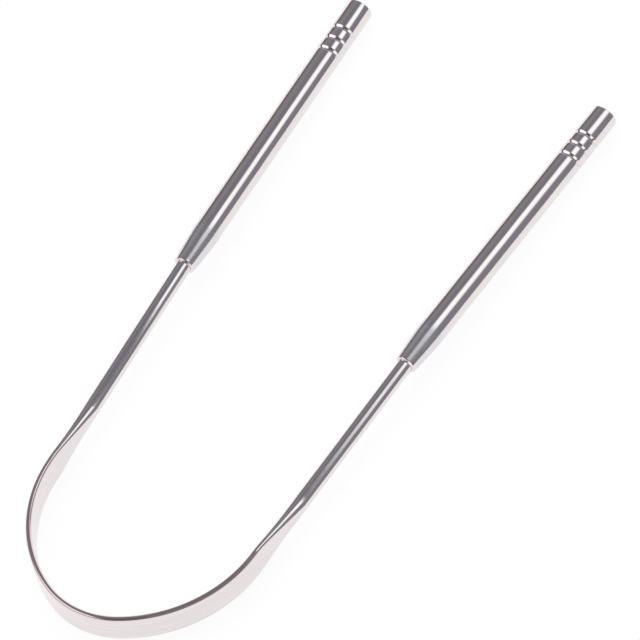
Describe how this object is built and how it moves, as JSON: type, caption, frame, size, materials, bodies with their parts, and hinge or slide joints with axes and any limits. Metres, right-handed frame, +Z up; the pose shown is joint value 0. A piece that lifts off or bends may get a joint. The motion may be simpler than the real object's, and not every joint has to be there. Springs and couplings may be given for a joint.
{
  "type": "tongue scraper",
  "caption": "U-shaped tongue scraper: one springy steel wire, pressed into a thin upright strip round the bend, with a hollow grooved tube handle on each arm.",
  "frame": {"origin": "middle of the footprint, on the surface that the scraper lies on", "axes": "+X to the user's right across the U, +Y from the crown of the U to the ends of the handles, +Z up across the width of the strip"},
  "size_m": [0.0692, 0.1628, 0.0081],
  "materials": {
    "spring_wire": "polished stainless steel with fine lengthwise drawing lines",
    "handle_tube": "polished stainless steel tube",
    "end_plug": "polished stainless steel disc"
  },
  "bodies": {
    "root": {"scraper_bow": "spring_wire", "left_handle": "handle_tube", "right_handle": "handle_tube", "left_end_plug": "end_plug", "right_end_plug": "end_plug"}
  },
  "joints": []
}
